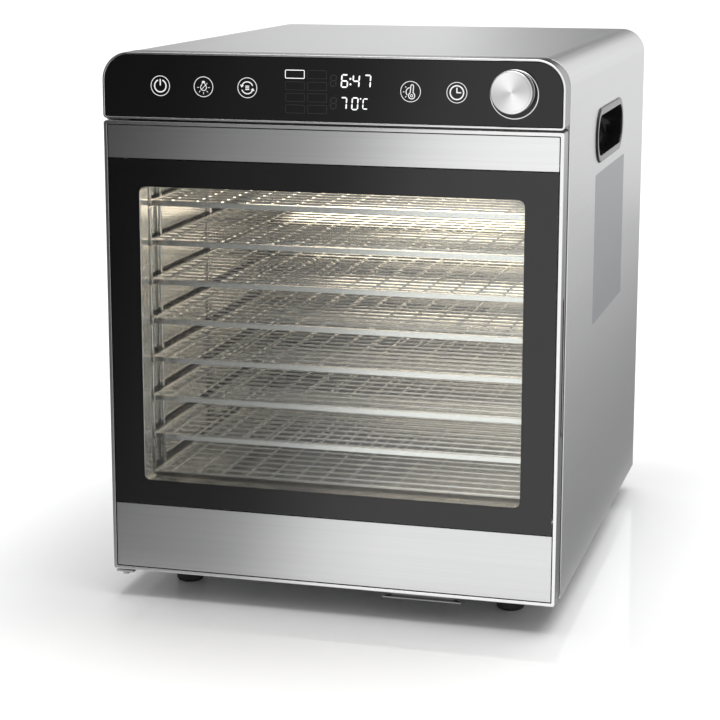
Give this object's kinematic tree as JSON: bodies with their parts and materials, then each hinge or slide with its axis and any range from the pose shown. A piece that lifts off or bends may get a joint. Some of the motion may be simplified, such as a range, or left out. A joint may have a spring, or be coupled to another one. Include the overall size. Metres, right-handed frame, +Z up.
{
  "type": "food dehydrator",
  "caption": "Cabinet food dehydrator: steel body on rubber feet, side-hinged glass door, wire trays on side racks, rear fan and heater, touch panel with a turning knob.",
  "frame": {"origin": "centre of the object's bounding box, at the height of the floor it stands on", "axes": "+X to the right seen from the front, +Y from the door to the back, +Z up"},
  "size_m": [0.348, 0.4446, 0.418],
  "materials": {
    "brushed_steel_panel": "brushed",
    "polished_liner": "polished",
    "chrome_wire": "polished",
    "satin_trim": "satin",
    "black_glass": "gloss",
    "clear_glass": "clear",
    "black_plastic": "gloss",
    "black_rubber": "matte",
    "circuit_board": "satin",
    "zinc_steel": "galvanised",
    "motor_steel": "satin",
    "heater_steel": "oxidised"
  },
  "bodies": {
    "cabinet": {"outer_wrapper": "brushed_steel_panel", "base_pan": "zinc_steel", "front_frame": "polished_liner", "rear_panel": "zinc_steel", "fan_cover": "brushed_steel_panel", "side_grip_right": "black_plastic", "side_grip_left": "black_plastic", "foot_front_left": "black_rubber", "foot_front_right": "black_rubber", "foot_rear_left": "black_rubber", "foot_rear_right": "black_rubber", "chamber_wall_left": "polished_liner", "chamber_wall_right": "polished_liner", "chamber_floor": "polished_liner", "chamber_ceiling": "polished_liner", "air_baffle": "polished_liner", "plenum_wall": "zinc_steel", "tray_rack_left": "chrome_wire", "tray_rack_right": "chrome_wire", "fan_motor": "motor_steel", "motor_bracket": "zinc_steel", "heater_coil": "heater_steel", "thermal_cutoff": "black_plastic", "temp_sensor": "chrome_wire", "lamp_housing": "zinc_steel", "lamp_lens": "clear_glass", "control_bezel": "satin_trim", "control_glass": "black_glass", "display_module": "black_plastic", "display_board": "circuit_board", "rotary_encoder": "black_plastic", "knob_ring": "satin_trim", "power_board": "circuit_board", "cord_gland": "black_rubber", "hinge_bracket_lower": "zinc_steel", "hinge_bracket_upper": "zinc_steel", "hinge_pin_lower": "zinc_steel", "hinge_pin_upper": "zinc_steel", "strike_plate": "zinc_steel"},
    "door": {"door_frame": "satin_trim", "door_glass": "clear_glass", "door_band_upper": "brushed_steel_panel", "door_band_lower": "brushed_steel_panel", "door_liner": "polished_liner", "door_inner_glass": "clear_glass", "door_seal": "black_rubber", "door_magnet": "motor_steel", "door_lip": "satin_trim"},
    "control_knob": {"knob": "satin_trim", "encoder_shaft": "zinc_steel"},
    "fan_rotor": {"fan_impeller": "zinc_steel", "fan_shaft": "zinc_steel"},
    "tray_slide_1": {"tray_1": "chrome_wire"},
    "tray_slide_2": {"tray_2": "chrome_wire"},
    "tray_slide_3": {"tray_3": "chrome_wire"},
    "tray_slide_4": {"tray_4": "chrome_wire"},
    "tray_slide_5": {"tray_5": "chrome_wire"},
    "tray_slide_6": {"tray_6": "chrome_wire"},
    "tray_slide_7": {"tray_7": "chrome_wire"},
    "tray_slide_8": {"tray_8": "chrome_wire"}
  },
  "joints": [
    {"name": "door_hinge", "type": "hinge", "parent": "cabinet", "child": "door", "pos_m": [-0.1655, -0.2013, 0.2], "axis": [0, 0, -1], "range_deg": [0, 120]},
    {"name": "knob_turn", "type": "hinge", "parent": "cabinet", "child": "control_knob", "pos_m": [0.1362, -0.2163, 0.3956], "axis": [0, 1, 0], "continuous": true},
    {"name": "fan_spin", "type": "hinge", "parent": "cabinet", "child": "fan_rotor", "pos_m": [0, 0.1583, 0.199], "axis": [0, 1, 0], "continuous": true},
    {"name": "tray_1_slide", "type": "slide", "parent": "cabinet", "child": "tray_slide_1", "axis": [0, -1, 0], "range_m": [-0.01, 0.01]},
    {"name": "tray_2_slide", "type": "slide", "parent": "cabinet", "child": "tray_slide_2", "axis": [0, -1, 0], "range_m": [-0.01, 0.01]},
    {"name": "tray_3_slide", "type": "slide", "parent": "cabinet", "child": "tray_slide_3", "axis": [0, -1, 0], "range_m": [-0.01, 0.01]},
    {"name": "tray_4_slide", "type": "slide", "parent": "cabinet", "child": "tray_slide_4", "axis": [0, -1, 0], "range_m": [-0.01, 0.01]},
    {"name": "tray_5_slide", "type": "slide", "parent": "cabinet", "child": "tray_slide_5", "axis": [0, -1, 0], "range_m": [-0.01, 0.01]},
    {"name": "tray_6_slide", "type": "slide", "parent": "cabinet", "child": "tray_slide_6", "axis": [0, -1, 0], "range_m": [-0.01, 0.01]},
    {"name": "tray_7_slide", "type": "slide", "parent": "cabinet", "child": "tray_slide_7", "axis": [0, -1, 0], "range_m": [-0.01, 0.01]},
    {"name": "tray_8_slide", "type": "slide", "parent": "cabinet", "child": "tray_slide_8", "axis": [0, -1, 0], "range_m": [-0.01, 0.01]}
  ]
}
